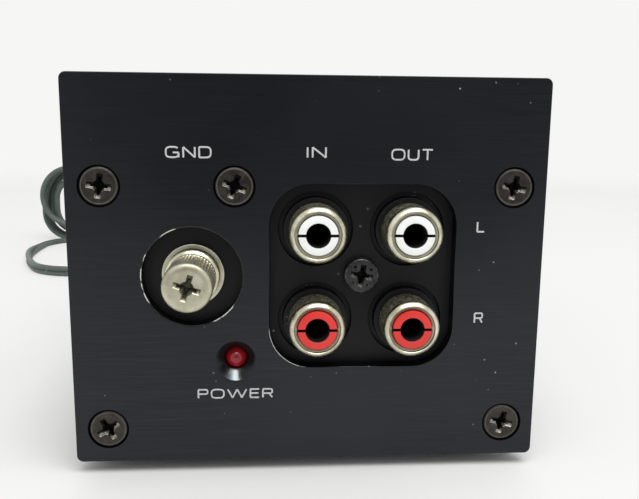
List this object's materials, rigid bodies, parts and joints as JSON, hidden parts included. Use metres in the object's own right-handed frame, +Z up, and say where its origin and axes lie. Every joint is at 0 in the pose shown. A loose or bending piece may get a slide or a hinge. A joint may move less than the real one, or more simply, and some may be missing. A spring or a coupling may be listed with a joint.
{
  "type": "phono preamp",
  "caption": "Small steel-cased phono preamp with input and output jacks, a knurled ground terminal and a power light on the front, and a captive flat mains cord with its plug.",
  "frame": {"origin": "middle of the underside of the box with its terminal and strain relief, on the table that the rubber feet stand on, without the cord", "axes": "+Z up; the front panel faces -Y; +X to the right seen from the front"},
  "size_m": [0.1442, 0.243, 0.0613],
  "materials": {
    "black_anodised": "fine brushed, black anodised",
    "tray_paint": "satin black paint on steel",
    "cover_paint": "fine textured black paint on steel",
    "black_screw": "blackened steel with a bronze sheen",
    "nickel": "satin nickel plate",
    "contact_metal": "tinned brass",
    "white_plastic": "moulded white plastic",
    "red_plastic": "moulded red plastic",
    "black_plastic": "moulded black plastic",
    "red_lens": "tinted epoxy",
    "black_rubber": "matt",
    "zinc": "zinc plate",
    "tinned_wire": "tinned",
    "board_laminate": "phenolic laminate",
    "spacer_brass": "turned",
    "chip_plastic": "moulded",
    "blue_sleeve": "shrink sleeve",
    "red_film": "dipped",
    "tan_coating": "lacquer",
    "core_steel": "varnished laminations",
    "winding_tape": "polyester tape",
    "grey_wire": "vinyl",
    "green_wire": "vinyl",
    "cord_vinyl": "satin dark grey-green vinyl",
    "plug_vinyl": "moulded black vinyl",
    "blade_metal": "nickel-plated brass"
  },
  "bodies": {
    "casing": {"front_panel": "black_anodised", "panel_screws": "black_screw", "chassis": "tray_paint", "case_cover": "cover_paint", "cover_screws": "black_screw", "rubber_feet": "black_rubber", "ground_bush": "zinc", "ground_lug": "tinned_wire", "ground_nut": "zinc", "jack_block": "black_plastic", "jack_shells": "nickel", "white_insulators": "white_plastic", "red_insulators": "red_plastic", "centre_contacts": "contact_metal", "jack_screw": "black_screw", "jack_earth_strap": "tinned_wire", "light_lens": "red_lens", "light_holder": "black_plastic", "light_leads": "tinned_wire", "circuit_board": "board_laminate", "board_spacers": "spacer_brass", "board_screws": "zinc", "preamp_chips": "chip_plastic", "electrolytic_capacitors": "blue_sleeve", "film_capacitors": "red_film", "resistors": "tan_coating", "rectifier_diodes": "chip_plastic", "voltage_regulators": "chip_plastic", "transformer_core": "core_steel", "transformer_winding": "winding_tape", "transformer_bracket": "zinc", "transformer_screws": "zinc", "signal_wires": "grey_wire", "ground_wire": "green_wire", "secondary_wires": "grey_wire", "mains_wires": "grey_wire", "strain_relief": "black_rubber", "power_cord": "cord_vinyl", "cord_hank": "cord_vinyl", "cord_tie": "black_rubber", "plug_lead": "cord_vinyl", "plug_body": "plug_vinyl", "plug_blades": "blade_metal"},
    "washer": {"ground_washer": "nickel"},
    "terminal_screw": {"ground_screw": "nickel"}
  },
  "joints": [
    {"name": "terminal_travel", "type": "slide", "parent": "casing", "child": "washer", "axis": [0, -1, 0], "range_m": [0, 0.0028]},
    {"name": "terminal_turn", "type": "hinge", "parent": "washer", "child": "terminal_screw", "pos_m": [-0.0177, -0.068, 0.0314], "axis": [0, -1, 0], "range_deg": [0, 1440]}
  ],
  "couplings": [
    {"joint": "terminal_turn", "follows": "terminal_travel", "rad_per_m": 8976}
  ]
}
